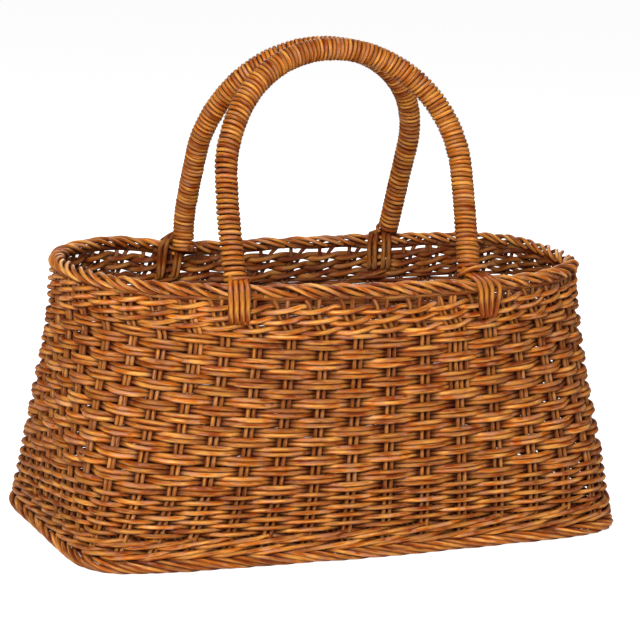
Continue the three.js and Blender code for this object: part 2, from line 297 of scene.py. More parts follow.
def rattan_grain_and_shade():
    """The stained skin of rattan: streaks along the strand, blotches of stain, patches of painted sheen,
    and painted shade in the crevices.
    """
    group = bpy.data.node_groups.new("rattan_grain_and_shade", "ShaderNodeTree")
    for word in ("Pale", "Middle", "Deep", "Sheen"):
        group.interface.new_socket(word, in_out="INPUT", socket_type="NodeSocketColor")
    group.interface.new_socket("Crevice", in_out="INPUT", socket_type="NodeSocketFloat")
    group.interface.new_socket("Color", in_out="OUTPUT", socket_type="NodeSocketColor")
    group.interface.new_socket("Roughness", in_out="OUTPUT", socket_type="NodeSocketFloat")
    group.interface.new_socket("Height", in_out="OUTPUT", socket_type="NodeSocketFloat")
    nodes, link = group.nodes, group.links.new
    given = nodes.new("NodeGroupInput")
    result = nodes.new("NodeGroupOutput")
    lay = nodes.new("ShaderNodeUVMap")
    lay.uv_map = "along_strand"
    tint = nodes.new("ShaderNodeAttribute")
    tint.attribute_name = "tint"
    dark = nodes.new("ShaderNodeAttribute")
    dark.attribute_name = "dark"

    def noise(along, around, detail):
        stretch = nodes.new("ShaderNodeMapping")
        stretch.inputs["Scale"].default_value = (along, around, 1)
        link(lay.outputs["UV"], stretch.inputs["Vector"])
        pattern = nodes.new("ShaderNodeTexNoise")
        pattern.inputs["Scale"].default_value = 1.0
        pattern.inputs["Detail"].default_value = detail
        link(stretch.outputs["Vector"], pattern.inputs["Vector"])
        return pattern.outputs["Fac"]

    def mixed(kind, fac, a, b):
        mix = nodes.new("ShaderNodeMix")
        mix.data_type = "RGBA"
        mix.blend_type = kind
        for socket, value in ((mix.inputs[0], fac), (mix.inputs[6], a), (mix.inputs[7], b)):
            if isinstance(value, (int, float, tuple)):
                socket.default_value = value
            else:
                link(value, socket)
        return mix.outputs[2]

    def spread(value, low, high, to_low=0.0, to_high=1.0):
        ranged = nodes.new("ShaderNodeMapRange")
        ranged.inputs["From Min"].default_value = low
        ranged.inputs["From Max"].default_value = high
        ranged.inputs["To Min"].default_value = to_low
        ranged.inputs["To Max"].default_value = to_high
        link(value, ranged.inputs["Value"])
        return ranged.outputs["Result"]

    streaks = noise(along=55.0, around=4.0, detail=3.0)
    blotches = noise(along=38.0, around=1.2, detail=2.0)
    # Painted sheen: pale, pinkish patches along the strands, in the fourth tone.
    sheen_patches = noise(along=110.0, around=1.5, detail=1.0)
    fibres = noise(along=220.0, around=14.0, detail=2.0)
    slow = noise(along=21.0, around=0.4, detail=0.0)
    light = mixed("MIX", spread(streaks, 0.42, 0.58), given.outputs["Middle"], given.outputs["Pale"])
    stained = mixed("MIX", spread(blotches, 0.48, 0.62, 0.0, 0.8), light, given.outputs["Deep"])
    sheened = mixed("MIX", spread(sheen_patches, 0.52, 0.62, 0.0, 0.7), stained, given.outputs["Sheen"])
    cloud = mixed("MIX", spread(slow, 0.36, 0.64), *CLOUD_TONES)
    shaded = mixed("MULTIPLY", 1.0, sheened, cloud)
    tone = mixed("MIX", tint.outputs["Fac"], *STRAND_TONES)
    toned = mixed("MULTIPLY", 1.0, shaded, tone)
    # Painted shade: the dark attribute, times the crevice share, mixes the colour toward the dark
    # red-brown.
    painted_crevice_shade = nodes.new("ShaderNodeMath")
    painted_crevice_shade.operation = "MULTIPLY"
    link(dark.outputs["Fac"], painted_crevice_shade.inputs[0])
    link(given.outputs["Crevice"], painted_crevice_shade.inputs[1])
    final = mixed("MIX", painted_crevice_shade.outputs[0], toned, PAINTED_SHADE_COLOUR)
    link(final, result.inputs["Color"])
    rough = nodes.new("ShaderNodeMath")
    rough.operation = "MULTIPLY_ADD"
    link(dark.outputs["Fac"], rough.inputs[0])
    rough.inputs[1].default_value = CREVICE_ROUGHNESS
    link(spread(fibres, 0.3, 0.7, *FIBRE_ROUGHNESS), rough.inputs[2])
    link(rough.outputs[0], result.inputs["Roughness"])
    link(fibres, result.inputs["Height"])
    return group


grain_and_shade = rattan_grain_and_shade()


def rattan(name, pale, middle, deep, sheen):
    """A material of stained rattan in four tones, one of them a painted sheen, with the grain, painted
    shade where the strands are dark, and a low polish.
    """
    material = bpy.data.materials.new(name)
    material.use_nodes = True
    nodes, link = material.node_tree.nodes, material.node_tree.links.new
    shader = nodes["Principled BSDF"]
    skin = nodes.new("ShaderNodeGroup")
    skin.node_tree = grain_and_shade
    for word, tone in (("Pale", pale), ("Middle", middle), ("Deep", deep), ("Sheen", sheen)):
        skin.inputs[word].default_value = (*tone, 1)
    skin.inputs["Crevice"].default_value = PAINTED_SHADE_SHARE
    relief = nodes.new("ShaderNodeBump")
    relief.inputs["Strength"].default_value = FIBRE_STRENGTH
    relief.inputs["Distance"].default_value = FIBRE_DEPTH
    link(skin.outputs["Color"], shader.inputs["Base Color"])
    link(skin.outputs["Roughness"], shader.inputs["Roughness"])
    link(skin.outputs["Height"], relief.inputs["Height"])
    link(relief.outputs["Normal"], shader.inputs["Normal"])
    shader.inputs["Specular IOR Level"].default_value = SKIN_SHINE
    return material


weaver_rattan = rattan(
    "weaver_rattan",
    pale=(0.97, 0.475, 0.105),
    middle=(0.66, 0.165, 0.006),
    deep=(0.25, 0.024, 0.0002),
    sheen=(0.64, 0.29, 0.16),
)


def finish_piece(piece, material, slot, body, *nodes):
    """Gives a piece its finish and its body, and hides the solids that it stands for."""
    piece.data.materials.append(material)
    if nodes:
        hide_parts(*nodes)
    if body:
        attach(piece, body)


def stake_lean(pair, height):
    """How far the stakes lean to the left of their places, in pairs, near the foot and the rim."""
    most = FOOT_LEAN[1] + FOOT_LEAN[2] * np.cos(6 * np.pi * (pair - 27) / STAKE_PAIRS)
    foot = most * np.clip(1 - height / FOOT_LEAN[0], 0, 1) ** 1.2
    return -foot - RIM_LEAN[2] * eased(height, RIM_LEAN[0], RIM_LEAN[1])


def stake(numbers, heights):
    """One stake, with its pair number at each height."""
    points, outward = on_wall(numbers, heights, WALL_MIDDLE)
    return strand(points, outward, STAKE_RADIUS, STAKE_DARK, tint=chance.uniform(0, 1), facing=0.0)


chance = np.random.default_rng(44)
stake_heights = np.linspace(STAKE_FOOT, STAKE_TOP, 72)
stakes = []
for pair in range(STAKE_PAIRS):
    for side in (-1, 1):
        sway = chance.normal(0, STAKE_SWAY, 3)
        sway[2] *= TOP_SWAY
        lean = np.interp(stake_heights, SWAY_HEIGHTS, sway)
        spread = RIM_SPREAD[2] * eased(stake_heights, RIM_SPREAD[0], RIM_SPREAD[1])
        lean = lean + stake_lean(pair, stake_heights)
        number = pair + lean + side * (STAKE_SPREAD + spread)
        if side < 0:
            number = number - TOP_BEND[2] * eased(stake_heights, TOP_BEND[0], TOP_BEND[1])
        stakes.append(stake(number, stake_heights))
stake_rattan = rattan(
    "stake_rattan",
    pale=(0.76, 0.32, 0.060),
    middle=(0.50, 0.160, 0.020),
    deep=(0.26, 0.048, 0.004),
    sheen=(0.57, 0.27, 0.14),
)
for pair, lower_end, places in EXTRA_STAKES:
    for turned in (0, STAKE_PAIRS / 2):
        for place in places:
            heights = np.linspace(lower_end, STAKE_TOP, 24)
            number = pair + turned + place + stake_lean(pair, heights)
            stakes.append(stake(number, heights))
stake_piece = strand_piece("stakes", stakes)
finish_piece(stake_piece, stake_rattan, "weave", "basket")

# Foot border: the stakes' lower ends, rolled over and under one another into a low rope that the
# basket stands on. Each end comes over the top, goes down the outside and ends underneath.
FOOT_BORDER_HEIGHT = 0.0105
FOOT_BORDER_REACH = 0.0048
FOOT_STRANDS = 2 * STAKE_PAIRS
FOOT_STRAND_RADIUS = 0.0017
FOOT_STRAND_START = -1.6
FOOT_STRAND_TURNS = (165, -135, 3.2)
STRAIGHT = ((0,), 1, 0)
UPWARD = np.array([0.0, 0.0, 1.0])


def rolled_strand(pair, turns, middle_height, wide, high, wobble, drawn_in=STRAIGHT):
    """One strand of a rolled border. It turns round the border's middle, from one angle to another,
    over a length in pairs. It may be drawn in at some pairs, over half a length and by a depth."""
    share = np.linspace(0, 1, 44)
    angle = np.radians(turns[0] + (turns[1] - turns[0]) * share)
    number = pair + turns[2] * share
    near = np.abs(number[:, None] - np.array(drawn_in[0])).min(axis=1)
    near = np.clip(near / drawn_in[1], 0, 1)
    reach = wide + wobble - drawn_in[2] * (0.5 + 0.5 * np.cos(np.pi * near))
    inset = WALL_MIDDLE - reach * np.cos(angle)
    height = middle_height + (high + wobble) * np.sin(angle)
    points, outward = on_wall(number, height, inset)
    beside = outward * np.cos(angle)[:, None] + UPWARD * np.sin(angle)[:, None]
    return points, beside, angle


foot_strands = []
for number in range(FOOT_STRANDS):
    points, beside, angle = rolled_strand(
        pair=number / 2 + FOOT_STRAND_START + chance.normal(0, 0.04),
        turns=FOOT_STRAND_TURNS,
        middle_height=FOOT_BORDER_HEIGHT / 2,
        wide=FOOT_BORDER_REACH,
        high=FOOT_BORDER_HEIGHT / 2 - FOOT_STRAND_RADIUS,
        wobble=chance.normal(0, 0.0002),
    )
    points[:, 2] = np.maximum(points[:, 2], FOOT_STRAND_RADIUS)
    # Painted shade: each strand is dark over the top of the rope by the wale and under it, and light
    # down its outer face.
    dark = np.clip(1.1 - 1.6 * np.cos(angle), 0, 0.9)
    foot_strands.append(strand(points, beside, FOOT_STRAND_RADIUS, dark, tint=chance.uniform(0, 1)))
foot_piece = strand_piece("foot_border_strands", foot_strands, edge=0.95)
finish_piece(foot_piece, weaver_rattan, "weave", "basket", "foot_border")

# Wales: two rows just above the foot, each of three rods that pass over two pairs of stakes and
# behind the third, rising as they go. With 44 pairs the three rods of a row are one long strand.
WALE_BOTTOM = 0.0105
WALE_HEIGHT = 0.0080
WALE_RISE = 0.0050
WALE_RADIUS = 0.00182
WALE_STEPS = 8
WALE_ROOM = 0.0003
WALE_SWING = (0.42, 1.5)
WALE_UNEVENNESS = (0.00025, 0.0003)
FRONT_PAIR = 32.3
BACK_PAIR = 10.3
SAG_LEVELS = (0.005, 0.015, 0.025, 0.040, 0.060, 0.080, 0.100, 0.155, 0.171, 0.186, 0.206)
MIDDLE_SAGS = (0.0, -2.0, -3.0, -3.1, -3.1, -3.2, -3.2, -1.8, 0.0, 0.0, 0.0)
BACK_RISE = 0.5
BACK_RISE_LEVELS = (0.165, 0.188)
END_RISES = (0.0, 0.0, 0.5, 1.5, 5.0, 8.0, 9.7, 10.3, 9.0, 6.5, 0.0)


def bends(pairs, steps, size):
    """A small uneven offset at each stake pair, smooth in between."""
    values = chance.normal(0, size, pairs)
    ease = eased(np.arange(steps) / steps, 0, 1)
    after = np.roll(values, -1)
    return (values[:, None] * (1 - ease) + after[:, None] * ease).ravel()


def facing_pair(pair, middle):
    """1 at the middle pair of one side, falling to -1 at the middle of the side across from it."""
    return np.cos(2 * np.pi * (pair - middle) / STAKE_PAIRS)


def row_sag(pair, level):
    """How far a row lies above its level: it sags along the long sides and rises at the ends."""
    ends = 0.5 - 0.5 * np.cos(4 * np.pi * (pair - FRONT_PAIR) / STAKE_PAIRS)
    middle = np.interp(level, SAG_LEVELS, MIDDLE_SAGS)
    back = np.clip(facing_pair(pair, BACK_PAIR), 0, 1)
    middle = middle + BACK_RISE * back * eased(level, *BACK_RISE_LEVELS)
    return (middle + (np.interp(level, SAG_LEVELS, END_RISES) - middle) * ends) / 1000


for row in range(2):
    pair = np.arange(3 * STAKE_PAIRS * WALE_STEPS) / WALE_STEPS
    phase = (pair / 3 + 0.5 * row) % 1
    front = phase < 2 / 3
    rise = np.where(front, phase * 1.5, 1 - (phase - 2 / 3) * 3)
    rise = eased(rise, 0, 1) * 0.4 + rise * 0.6
    level = WALE_BOTTOM + WALE_HEIGHT * (row + 0.5)
    height = level + row_sag(pair, level) + (rise - 0.5) * WALE_RISE
    height += bends(3 * STAKE_PAIRS, WALE_STEPS, WALE_UNEVENNESS[0])
    swing = np.cos(2 * np.pi * (phase - 1 / 3))
    swing = np.clip((swing + WALE_SWING[0]) * WALE_SWING[1], -1, 1)
    inset = WALL_MIDDLE - swing * (STAKE_RADIUS + WALE_RADIUS + WALE_ROOM)
    inset += bends(3 * STAKE_PAIRS, WALE_STEPS, WALE_UNEVENNESS[1])
    points, outward = on_wall(pair - 0.5 + stake_lean(pair, level), height, inset)
    wale = [strand(points, outward, WALE_RADIUS, dark=0.05, closed=True, facing=swing)]
    wale_piece = strand_piece(f"wale_strands_{row + 1}", wale, edge=0.95)
    finish_piece(wale_piece, weaver_rattan, "weave", "basket", f"lower_wale_{row + 1}")

# Lower randing: nine close rows of single weavers above the wales, each in front of one pair of stakes
# and behind the next. The rows are beaten down on one another, so that little light comes through.
WEAVER_RADIUS = 0.00186
WEAVER_STEPS = 9
LOWER_WEAVER_RADIUS = 0.00168
WEAVER_TILT = 0.0006
WEAVER_SHARPNESS = 0.8
WAVE_COUNTS = (1, 2, 3, 5, 8)
OPENING_REACH = 0.002
LOWER_RANDING = (0.0265, 0.0552, 9)
weaver_pairs = np.arange(STAKE_PAIRS * WEAVER_STEPS) / WEAVER_STEPS


def weaver_bends(size):
    """The small uneven offsets of a weaver, one at each stake pair."""
    return bends(STAKE_PAIRS, WEAVER_STEPS, size)


def row_wave(unevenness):
    """How a row of weaving wanders up and down round the basket, never the same twice."""
    place = np.arange(len(weaver_pairs)) * 2 * np.pi / len(weaver_pairs)
    total = np.zeros(len(weaver_pairs))
    for wave in WAVE_COUNTS:
        total += chance.normal() * np.cos(wave * place + chance.uniform(0, 2 * np.pi))
    return total * unevenness / math.sqrt(len(WAVE_COUNTS) / 2) + weaver_bends(unevenness)


def woven_row(level, parity, wave_height, spread=0.0, radius=WEAVER_RADIUS):
    """One weaver round the basket, in front of every other stake pair from the given parity. It is
    thicker where the rows open up toward the ends, so that the wall stays closed there."""
    pair = weaver_pairs
    wave = np.cos(np.pi * (pair - parity))
    swing = np.sign(wave) * np.abs(wave) ** WEAVER_SHARPNESS
    depth = STAKE_RADIUS + radius + weaver_bends(0.0002)
    centre = level + row_sag(pair, level)
    tilt = WEAVER_TILT * facing_pair(pair, FRONT_PAIR)
    height = centre + wave_height + (spread + tilt) * swing + weaver_bends(0.00009)
    points, outward = on_wall(pair + stake_lean(pair, centre), height, WALL_MIDDLE - swing * depth)
    thickness = radius * (1 + chance.normal(0, 0.03) + weaver_bends(0.03))
    opened = row_sag(pair, level + OPENING_REACH) - row_sag(pair, level - OPENING_REACH)
    thickness = thickness * (1 + np.maximum(opened / (2 * OPENING_REACH), 0))
    tint = chance.uniform(0, 1)
    return strand(points, outward, thickness, dark=0.05, closed=True, tint=tint, facing=swing)


def row_level(course, row):
    """The height of one row of a course that is given by its bottom, its top and its rows."""
    bottom, top, rows = course
    return bottom + (top - bottom) * (row + 0.5) / rows


lower_weavers = []
for row in range(LOWER_RANDING[2]):
    level = row_level(LOWER_RANDING, row)
    wave_height = row_wave(0.00014)
    lower_weavers.append(woven_row(level, (row + 1) % 2, wave_height, radius=LOWER_WEAVER_RADIUS))
lower_piece = strand_piece("lower_randing_weavers", lower_weavers)
finish_piece(lower_piece, weaver_rattan, "weave", "basket", "lower_randing")

# Slewing: sixteen rows of doubled weavers, two strands that lie one on the other and go in front of
# one pair of stakes and behind the next together. They spread a little where they go over a pair, and
# one single weaver closes them at the top.
SLEWING = (0.0552, 0.1655, 16)
SLEWING_SPREAD = 0.00008
SINGLE_ROW_RISE = 0.0016
slewing_weavers = []
slewing_pitch = (SLEWING[1] - SLEWING[0]) / SLEWING[2]
for row in range(SLEWING[2]):
    wave_height = row_wave(0.00013)
    for side in (-1, 1):
        level = row_level(SLEWING, row) + side * slewing_pitch / 4
        weaver = woven_row(level, row % 2, wave_height, spread=side * SLEWING_SPREAD)
        slewing_weavers.append(weaver)
slewing_weavers.append(woven_row(SLEWING[1] + SINGLE_ROW_RISE, 0, row_wave(0.0002)))
slewing_piece = strand_piece("slewed_weavers", slewing_weavers, sides=7)
finish_piece(slewing_piece, weaver_rattan, "weave", "basket", "slewed_siding")

# Pairing under the rim: three looser rows, each of two weavers that twist round one another between
# the stakes, so that each pair of stakes has one before it and one behind. Light comes through them.
PAIRING = (0.1676, 0.1892, 3)
PAIRING_RADIUS = 0.00188
PAIRING_BACK_THICKER = 0.20
PAIRING_RISE = 0.0021
PAIRING_TILT = -0.0006
PAIRING_TWIST = 0.3
PAIRING_SHARPNESS = 0.9
pairing_weavers = []
pair = weaver_pairs
for row in range(PAIRING[2]):
    level = row_level(PAIRING, row)
    wave_height = row_wave(0.0004)
    for first in (0, 1):
        phase = ((pair - first) / 2 + 0.5) % 1 - 0.5
        climb = np.minimum(np.abs(phase) / PAIRING_TWIST, (0.5 - np.abs(phase)) / (0.5 - PAIRING_TWIST))
        rise = PAIRING_RISE * np.sign(phase) * np.maximum(climb, 0) ** PAIRING_SHARPNESS
        swing = np.cos(2 * np.pi * phase)
        depth = STAKE_RADIUS + PAIRING_RADIUS + weaver_bends(0.0003)
        centre = level + row_sag(pair, level)
        tilt = PAIRING_TILT * facing_pair(pair, FRONT_PAIR)
        height = centre + rise + tilt * swing + wave_height + weaver_bends(0.0002)
        around = pair + stake_lean(pair, centre)
        points, outward = on_wall(around, height, WALL_MIDDLE - swing * depth)
        back = np.clip(facing_pair(pair, BACK_PAIR), 0, 1)
        thickness = PAIRING_RADIUS * (1 + PAIRING_BACK_THICKER * back)
        tint = chance.uniform(0.2, 0.95)
        weaver = strand(points, outward, thickness, closed=True, tint=tint, facing=swing)
        pairing_weavers.append(weaver)
pairing_piece = strand_piece("pairing_weavers", pairing_weavers, edge=0.8)
finish_piece(pairing_piece, weaver_rattan, "weave", "basket", "upper_randing")

# Top border: the stakes' upper ends, laid over one another to the right and rolled into a rope. Each
# comes up inside, crosses the top, goes down the outside and is tucked away under the next ones. The
# lashings of the front handle draw it in a little.
TOP_BORDER_HEIGHT = 0.0106
TOP_BORDER_WIDTH = 0.0130
TOP_STRAND_RADIUS = 0.0016
TOP_CORE_RADIUS = 0.0024
TOP_CORE_DROP = 0.0045
RIM_STRANDS = 2 * STAKE_PAIRS
RIM_STRAND_STARTS = (-0.35, 0.07)
RIM_STRAND_TURNS = (225, -75, 2.05)
RIM_STRAND_REACHES = (0.0003, -0.0005)
DRAWN_IN = ((28.5, 35.5), 1.2, 0.0023)
rim_middle = BODY_HEIGHT - TOP_BORDER_HEIGHT / 2
rim_strands = []
for number in range(RIM_STRANDS):
    under = number % 2
    points, beside, angle = rolled_strand(
        pair=number // 2 + RIM_STRAND_STARTS[under] + chance.normal(0, 0.035),
        turns=RIM_STRAND_TURNS,
        middle_height=rim_middle,
        wide=TOP_BORDER_WIDTH / 2 - TOP_STRAND_RADIUS,
        high=TOP_BORDER_HEIGHT / 2 - TOP_STRAND_RADIUS,
        wobble=RIM_STRAND_REACHES[under] + chance.normal(0, 0.0003),
        drawn_in=DRAWN_IN,
    )
    # Painted shade: the strands laid under are a little darker, and each is darkest down the inside of
    # the rope and lightest on its upper outer side.
    dark = 0.04 * under + 0.28 * eased(-np.cos(angle - math.radians(60)), -0.1, 0.9)
    rim_strands.append(strand(points, beside, TOP_STRAND_RADIUS, dark, tint=chance.uniform(0.5, 1)))
core_height = rim_middle - TOP_CORE_DROP + weaver_bends(0.0008)
points, outward = on_wall(weaver_pairs, core_height, WALL_MIDDLE)
# The core inside the rope is painted in deep shade.
rim_strands.append(strand(points, outward, TOP_CORE_RADIUS, dark=0.6, closed=True))
rim_piece = strand_piece("top_border_strands", rim_strands, edge=0.55)
finish_piece(rim_piece, weaver_rattan, "weave", "basket", "top_border")

# Bottom: a flat woven mat inside the foot. Pairs of rods lie along it, and single weavers go over and
# under them from side to side. Its ends are held in the foot border.
BOTTOM_MIDDLE = 0.007
BOTTOM_ROD_RADIUS = 0.0014
BOTTOM_WEAVER_RADIUS = 0.00138
BOTTOM_RODS = 10
BOTTOM_ROD_PITCH = 0.0215
BOTTOM_ROD_SPREAD = 0.0018
BOTTOM_WEAVER_PITCH = 0.0026
BOTTOM_INSET = 0.0110
foot_outline = outline_level(BOTTOM_MIDDLE)
bottom_half_length = foot_outline[:, 0].max() - BOTTOM_INSET
bottom_half_width = foot_outline[:, 1].max() - BOTTOM_INSET


def bottom_reach(place, half_here, half_there):
    """How far the bottom reaches to the side at a place along it."""
    return half_there * (1 - min(abs(place) / half_here, 1) ** FOOT_SIZE[2]) ** (1 / FOOT_SIZE[2])


bottom_strands = []
for row in range(BOTTOM_RODS):
    for side in (-1, 1):
        y = BOTTOM_ROD_PITCH * (row - (BOTTOM_RODS - 1) / 2) + side * BOTTOM_ROD_SPREAD
        reach = bottom_reach(y, bottom_half_width, bottom_half_length)
        x = np.linspace(-reach, reach, 40)
        points = np.column_stack([x, y + 0 * x, BOTTOM_MIDDLE + 0 * x])
        # The rods are painted a little shaded, where the weavers lie over them.
        bottom_strands.append(strand(points, UPWARD, BOTTOM_ROD_RADIUS, 0.3, tint=chance.uniform(0, 1)))
weaver_count = int(2 * bottom_half_length / BOTTOM_WEAVER_PITCH)
for number in range(weaver_count):
    x = (number - (weaver_count - 1) / 2) * BOTTOM_WEAVER_PITCH
    reach = bottom_reach(x, bottom_half_length, bottom_half_width)
    y = np.linspace(-reach, reach, 60)
    swing = np.cos(np.pi * (y / BOTTOM_ROD_PITCH + 0.5 + number))
    depth = BOTTOM_ROD_RADIUS + BOTTOM_WEAVER_RADIUS - 0.0001
    points = np.column_stack([x + 0 * y, y, BOTTOM_MIDDLE + swing * depth])
    tint = chance.uniform(0, 1)
    bottom_strands.append(strand(points, UPWARD, BOTTOM_WEAVER_RADIUS, 0.05, tint=tint, facing=swing))
bottom_rattan = rattan(
    "bottom_rattan",
    pale=(0.86, 0.38, 0.075),
    middle=(0.58, 0.155, 0.010),
    deep=(0.25, 0.035, 0.001),
    sheen=(0.55, 0.24, 0.12),
)
bottom_piece = strand_piece("bottom_mat_strands", bottom_strands, sides=6)
finish_piece(bottom_piece, bottom_rattan, "bottom", "basket", "bottom_mat")

# Handles: each a rattan rod bent to a hoop, bound from end to end with one cane in close turns. The
# two stand on hinge lines through the rim's rope and lean in over the basket. One leg of the rear
# handle has slipped down inside the rim.
HINGE_MIDDLE = Vector((-0.0171178, -0.1106002, 0.1995))
HINGE_LINE = Vector((0.9990559, -0.0434436, 0.0))
HALF_SPAN = 0.09256
LEG_HEIGHT = 0.089
CROWN_RISE = 0.093
LEANS = {"front": math.radians(20.9), "rear": math.radians(24.1)}
LEG_STARTS = {"front": (0.008, 0.008), "rear": (0.0115, -0.005)}
LEG_TUCKS = {"front": (0.0, 0.0), "rear": (0.0, 0.015)}
TUCK_LENGTH = 0.050
BEND_STEP = 0.030
LEG_BENDS = {
    "front": ((-1.4, -2.6, -2.9, -1.6, 1.0, 1.2, 0.0), (-4.2, -2.6, -1.4, -0.8, -0.6, -0.3, 0.0)),
    "rear": ((4.4, 4.4, 4.5, 4.4, 3.0, 1.2, 0.0), (0.0, 0.0, -0.5, -1.5, -3.0, -2.5, 0.0)),
}
CORE_RADIUS = 0.0045
CANE_RADIUS = 0.0017
WINDING_RADIUS = 0.0070
WINDING_PITCH = (0.0038, 0.0033)
WINDING_STEPS = 18
WINDING_START = 0.12
WINDING_UNEVENNESS = (0.00010, 0.00018)
FIRST_TURN_REACH = 0.002
TAILS = {"front": (0.0055, 0.0052), "rear": (0.001, 0.0)}
LAST_TURNS_TILT = {"front": 0.0012, "rear": 0.0}


def handle_frame(side):
    """The middle of a handle's hinge line, its direction, the legs' direction and the way inward."""
    middle, line = HINGE_MIDDLE.copy(), HINGE_LINE.copy()
    lean = LEANS[side]
    inward = Vector((-line.y, line.x, 0.0))
    leg = inward * math.sin(lean) + Vector((0, 0, math.cos(lean)))
    if side == "rear":
        half_turn = Matrix.Rotation(math.pi, 3, "Z")
        middle, line, leg, inward = (half_turn @ part for part in (middle, line, leg, inward))
    return [np.array(part) for part in (middle, line, leg, inward)]


def evenly(points, count):
    """The same line with evenly spaced points, and its length."""
    length = np.concatenate([[0], np.cumsum(np.linalg.norm(np.diff(points, axis=0), axis=1))])
    even = np.linspace(0, length[-1], count)
    return np.column_stack([np.interp(even, length, column) for column in points.T]), length[-1]


def hoop_line(side, count):
    """Points along a handle, from the end of its first leg over the crown to the end of the other."""
    middle, line, leg, inward = handle_frame(side)
    angle = np.linspace(0, np.pi, 400)
    crown = np.column_stack([-HALF_SPAN * np.cos(angle), LEG_HEIGHT + CROWN_RISE * np.sin(angle)])
    legs = []
    for foot, start in zip((-1, 1), LEG_STARTS[side]):
        rise = np.linspace(start, LEG_HEIGHT, 60)
        legs.append(np.column_stack([foot * HALF_SPAN + 0 * rise, rise]))
    flat = np.concatenate([legs[0][:-1], crown, legs[1][::-1][1:]])
    rises = np.arange(0, 0.19, 0.001)
    for foot, places in zip((-1, 1), LEG_BENDS[side]):
        bend = np.interp(rises, BEND_STEP * np.arange(len(places)), places) / 1000
        bend = smoothed(bend, 27, "edge")
        flat[:, 0] += np.where(flat[:, 0] * foot > 0, np.interp(flat[:, 1], rises, bend), 0)
    points = middle + flat[:, :1] * line + flat[:, 1:] * leg
    for foot, start, tuck in zip((-1, 1), LEG_STARTS[side], LEG_TUCKS[side]):
        near = np.clip(1 - (flat[:, 1] - start) / TUCK_LENGTH, 0, 1) * (flat[:, 0] * foot > 0)
        points = points + inward * tuck * (near**2)[:, None]
    return evenly(points, count)


cane = rattan(
    "winding_cane",
    pale=(0.92, 0.43, 0.080),
    middle=(0.60, 0.152, 0.007),
    deep=(0.25, 0.028, 0.0003),
    sheen=(0.56, 0.24, 0.12),
)
handle_ends = {}
for side in ("front", "rear"):
    line, leg = handle_frame(side)[1:3]
    face = np.cross(line, leg)
    even, length = hoop_line(side, 2400)
    handle_ends[side] = (even[0], even[-1])
    along = np.linspace(0, length, len(even))
    pitch = WINDING_PITCH[0] + (WINDING_PITCH[1] - WINDING_PITCH[0]) * eased(along / length, 0.1, 0.4)
    turned = np.concatenate([[0], np.cumsum(np.diff(along) / pitch[1:])])
    turned *= (round(turned[-1]) + 0.5) / turned[-1]
    turns = np.linspace(0, turned[-1], int(turned[-1] * WINDING_STEPS))
    centre = np.column_stack([np.interp(turns, turned, column) for column in even.T])
    run = unit(np.gradient(centre, axis=0))
    across = unit(np.cross(face, run))
    angle = 2 * np.pi * (turns - turns[-1]) - WINDING_START * np.pi
    beside = across * np.cos(angle)[:, None] - np.cross(run, across) * np.sin(angle)[:, None]
    knots = np.arange(0, turns[-1] + 1, 0.5)
    uneven = np.interp(turns, knots, chance.normal(0, WINDING_UNEVENNESS[0], len(knots)))
    slip = np.interp(turns, knots, chance.normal(0, WINDING_UNEVENNESS[1], len(knots)))
    tail = eased(turns, turns[-1] - 0.5, turns[-1])
    head = 1 - eased(turns, 0, 0.5)
    reach = WINDING_RADIUS + uneven + TAILS[side][0] * tail + FIRST_TURN_REACH * head
    slip = slip - TAILS[side][1] * tail
    slip = slip - LAST_TURNS_TILT[side] * np.cos(angle) * eased(turns, turns[-1] - 4, turns[-1] - 0.5)
    points = centre + beside * reach[:, None] + run * slip[:, None]
    tint = chance.uniform(0.4, 0.7)
    windings = [strand(points, beside, CANE_RADIUS, tint=tint)]
    # The high edge value paints dark shade in the gaps between the turns.
    winding_piece = strand_piece(f"{side}_handle_winding", windings, edge=1.15)
    finish_piece(winding_piece, cane, "cane", f"{side}_handle", f"{side}_handle_wrap")
    rod = hoop_line(side, 160)[0]
    # The rod under the winding is painted half in shade.
    rods = [strand(rod[1:-1], face, CORE_RADIUS, dark=0.5)]
    core_piece = strand_piece(f"{side}_handle_rod", rods, sides=12)
    finish_piece(core_piece, cane, "core", f"{side}_handle", f"{side}_handle_core")

# Lashings: at each foot of a handle four loops of cane come out from under the winding, go down over
# the rim, through the wall, and up again on its other side. The places are where the loops cross the
# rim's shoulder, its middle and the wall, in millimetres along.
LASH_PITCH = 0.0044
LASH_RADIUS = 0.0019
LASH_BOTTOMS = {"front_a": 0.1785, "front_b": 0.1765, "rear_a": 0.1760, "rear_b": 0.1735}
LASH_ROOM = 0.0006
LASH_DEPTH = 0.0045
LASH_GATHER = 0.7
LASH_HIDDEN_GATHER = 0.8
LASH_PLACES = {
    "front_a": ((-6.8, -2.9, 1.2, 5.0), (-6.4, -2.4, 1.6, 5.6), (-4.6, -0.7, 3.4, 7.0)),
    "front_b": ((-4.2, 0.6, 5.0, 9.2), (-1.2, 3.6, 9.2, 16.3), (3.9, 7.7, 11.0, 15.4)),
    "rear_a": ((2.0, 6.0, 12.5, 17.0), (2.0, 6.5, 14.0, 19.0), (2.0, 6.5, 13.5, 18.0)),
    "rear_b": ((2.5, 6.5, 15.0, 16.0), (3.0, 7.0, 18.2, 23.8), (2.5, 6.5, 17.2, 19.6)),
}
ARCHES = {
    "front_b": (None, None, (0.0005, 0.003), (0.0015, 0.003)),
    "rear_a": (None, None, (-0.0005, 0.004), (0.0005, 0.003)),
    "rear_b": (None, None, (-0.0022, 0.0065), (-0.0005, 0.0025)),
}


